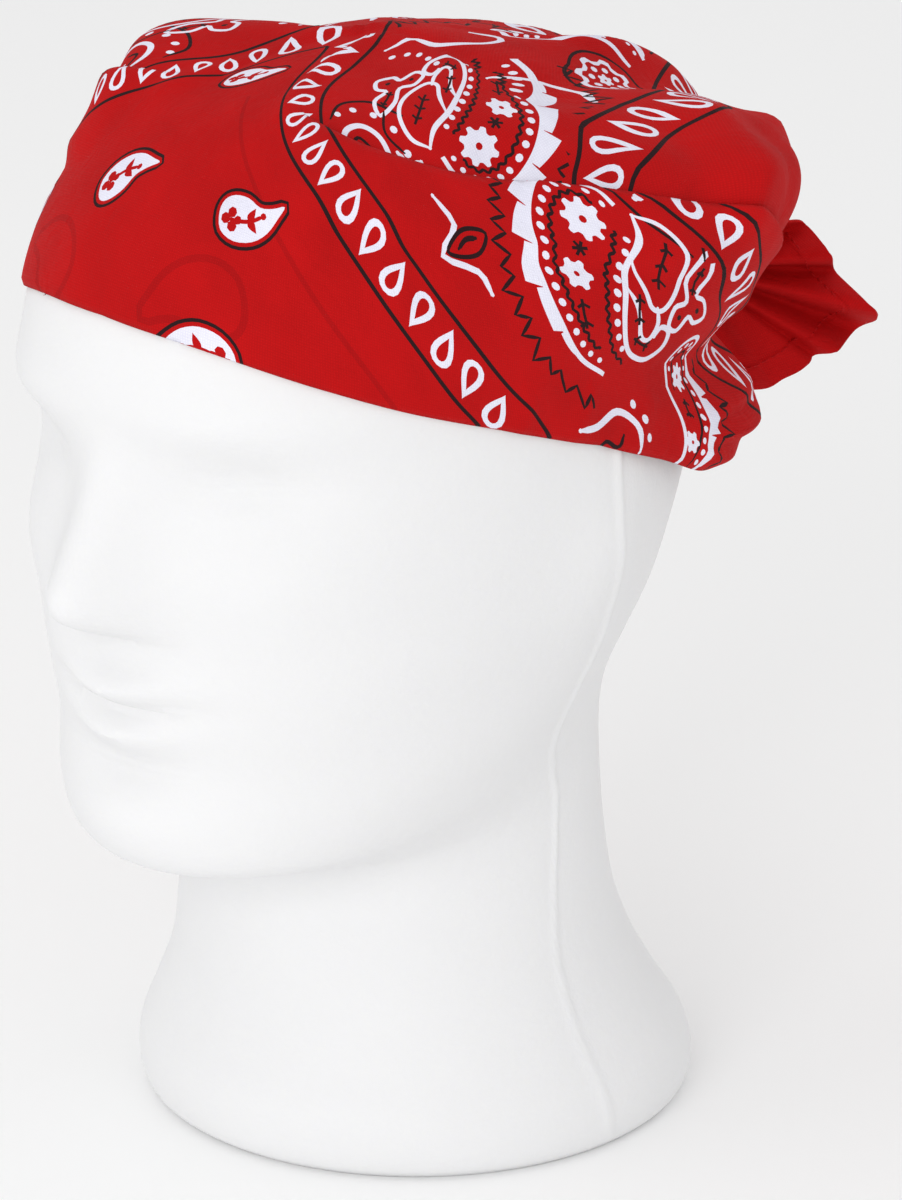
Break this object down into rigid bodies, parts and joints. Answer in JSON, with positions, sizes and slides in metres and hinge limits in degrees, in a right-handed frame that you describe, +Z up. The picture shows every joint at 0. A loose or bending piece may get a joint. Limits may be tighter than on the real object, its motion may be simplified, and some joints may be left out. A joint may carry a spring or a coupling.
{
  "type": "bandana on a display head",
  "caption": "Square cotton bandana folded corner to corner and tied behind a limbless foam display head that stands on its flat round base.",
  "frame": {"origin": "centre of the display head's flat base, on the surface it stands on", "axes": "+Z up through the head, -Y the way the face looks, +X the head's left side"},
  "size_m": [0.18, 0.2528, 0.2859],
  "materials": {
    "cloth": "thin plain-woven cotton, red with a white and black paisley print",
    "foam": "white expanded polystyrene, fine beads, matt"
  },
  "bodies": {
    "root": {"head": "foam", "forehead": "cloth", "side_left": "cloth", "side_right": "cloth", "crown": "cloth", "corner": "cloth", "knot": "cloth", "end_left": "cloth", "end_right": "cloth"}
  },
  "joints": []
}
